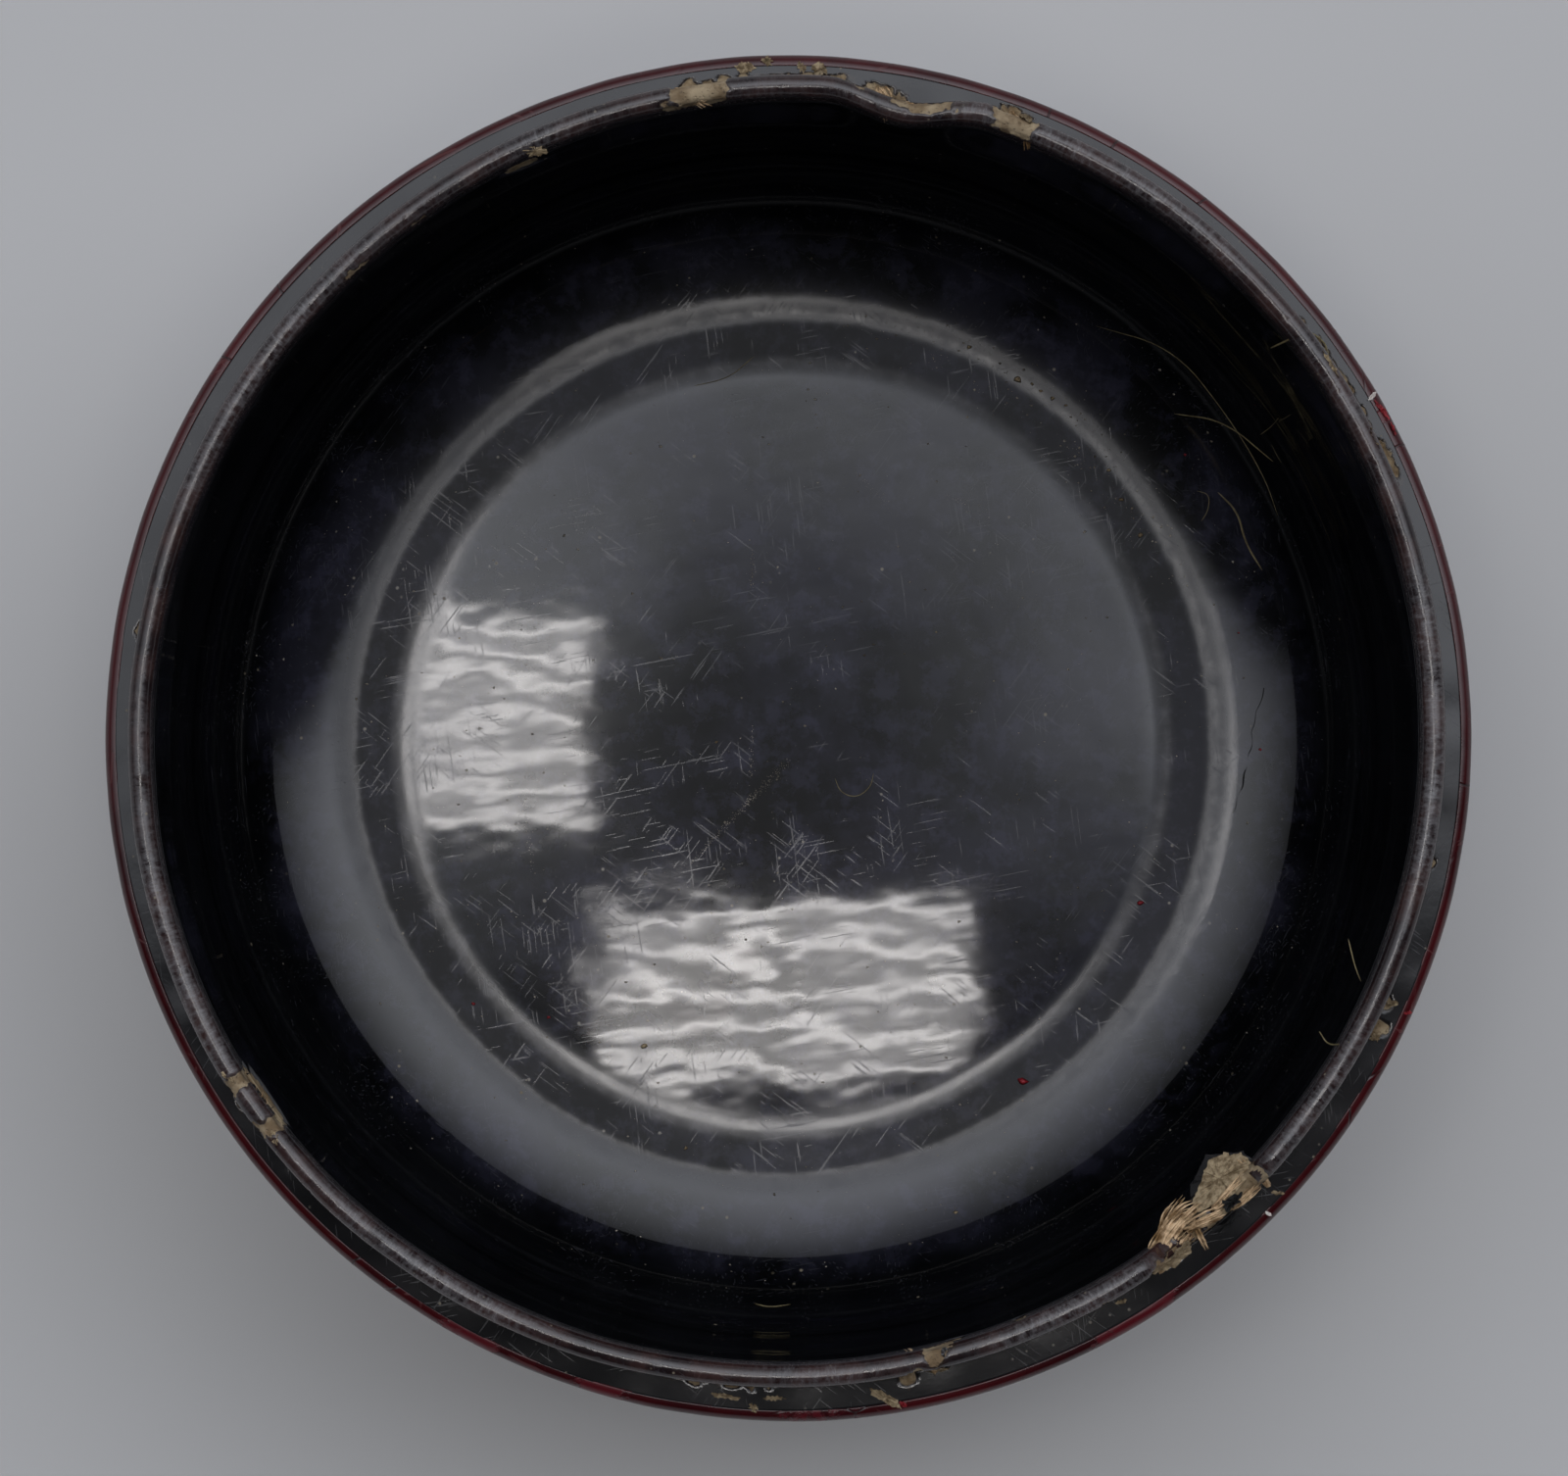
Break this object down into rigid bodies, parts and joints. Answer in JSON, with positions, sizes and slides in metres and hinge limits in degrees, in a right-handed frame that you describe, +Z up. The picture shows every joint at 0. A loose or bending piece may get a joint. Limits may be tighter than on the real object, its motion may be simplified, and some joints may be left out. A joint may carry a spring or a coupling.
{
  "type": "go stone bowl",
  "caption": "Round lacquered wooden bowl for go stones: black inside, red outside, with a worn upright lip and a ledge for a lid, on a foot ring",
  "frame": {"origin": "centre of the face that the bowl stands on, under its foot ring", "axes": "+Z is up along the bowl's axis, out of its mouth; X and Y are level and alike, as the bowl is round"},
  "size_m": [0.14, 0.14, 0.082],
  "materials": {
    "black_lacquer": "old black lacquer, satin gloss, finely scratched",
    "lip_lacquer": "brown-black lacquer, worn rough along the crest",
    "red_lacquer": "deep red lacquer, satin gloss, rubbed along the edge",
    "buff_ground": "clay and raw lacquer ground, matte and pored",
    "hemp_cloth": "open woven hemp cloth, soaked in lacquer",
    "core_wood": "plain bent softwood, dry"
  },
  "bodies": {
    "root": {"floor_board": "core_wood", "foot_hoop": "core_wood", "wall_hoop_1": "core_wood", "wall_hoop_2": "core_wood", "wall_hoop_3": "core_wood", "wall_hoop_4": "core_wood", "wall_hoop_5": "core_wood", "wall_hoop_6": "core_wood", "shoulder_hoop": "core_wood", "lip_hoop": "core_wood", "inner_cloth": "hemp_cloth", "outer_cloth": "hemp_cloth", "lip_cloth": "hemp_cloth", "inner_ground": "buff_ground", "outer_ground": "buff_ground", "lip_ground": "buff_ground", "foot_ground": "buff_ground", "inner_lacquer": "black_lacquer", "lip_lacquer": "lip_lacquer", "ledge_lacquer": "black_lacquer", "outer_lacquer": "red_lacquer", "foot_lacquer": "black_lacquer", "base_lacquer": "black_lacquer"}
  },
  "joints": []
}
